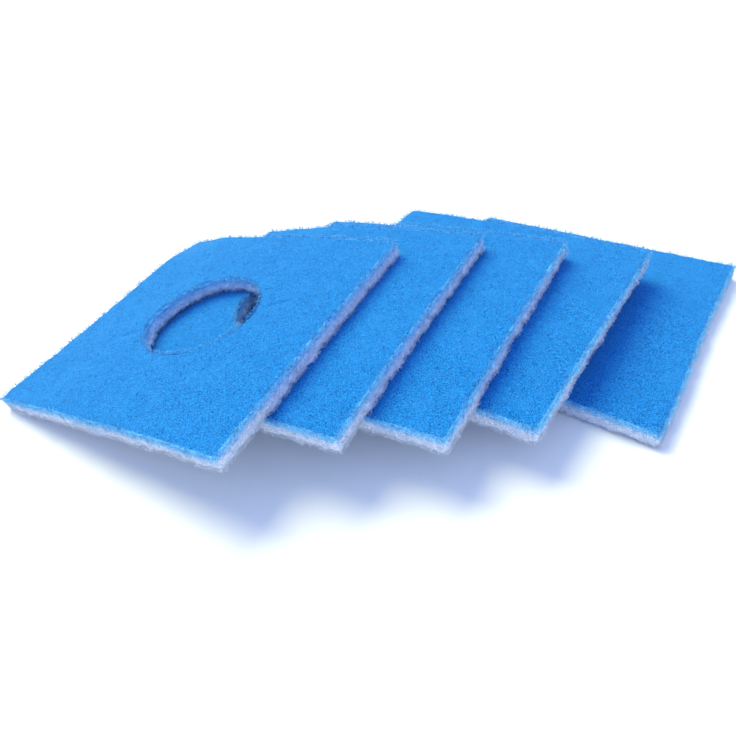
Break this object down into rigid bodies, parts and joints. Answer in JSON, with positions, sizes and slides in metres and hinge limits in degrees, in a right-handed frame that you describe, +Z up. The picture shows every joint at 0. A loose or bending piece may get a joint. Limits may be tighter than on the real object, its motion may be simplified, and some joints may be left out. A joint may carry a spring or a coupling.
{
  "type": "filter pad set",
  "caption": "Fanned set of square filter fleece pads, blue face bonded on white fleece, each with a round centre hole that slips over a filter's tube.",
  "frame": {"origin": "middle of the fanned set's footprint, on the surface that it lies on", "axes": "+X along the fan, from the pad on top to the flat one at the bottom; +Y away from the pads' near corners; +Z up"},
  "size_m": [0.4654, 0.2628, 0.0531],
  "materials": {
    "blue_fleece": "matte, open bonded fibres",
    "white_fleece": "matte, soft lofted fibres"
  },
  "bodies": {
    "pad_5": {"pad_5_blue_face": "blue_fleece", "pad_5_white_fleece": "white_fleece"},
    "pad_4": {"pad_4_blue_face": "blue_fleece", "pad_4_white_fleece": "white_fleece"},
    "pad_3": {"pad_3_blue_face": "blue_fleece", "pad_3_white_fleece": "white_fleece"},
    "pad_2": {"pad_2_blue_face": "blue_fleece", "pad_2_white_fleece": "white_fleece"},
    "pad_1": {"pad_1_blue_face": "blue_fleece", "pad_1_white_fleece": "white_fleece"}
  },
  "joints": [
    {"name": "pad_4_lift", "type": "slide", "parent": "pad_5", "child": "pad_4", "axis": [0, 0, 1], "range_m": [0, 0.06]},
    {"name": "pad_3_lift", "type": "slide", "parent": "pad_4", "child": "pad_3", "axis": [0, 0, 1], "range_m": [0, 0.06]},
    {"name": "pad_2_lift", "type": "slide", "parent": "pad_3", "child": "pad_2", "axis": [0, 0, 1], "range_m": [0, 0.06]},
    {"name": "pad_1_lift", "type": "slide", "parent": "pad_2", "child": "pad_1", "axis": [0, 0, 1], "range_m": [0, 0.06]}
  ]
}
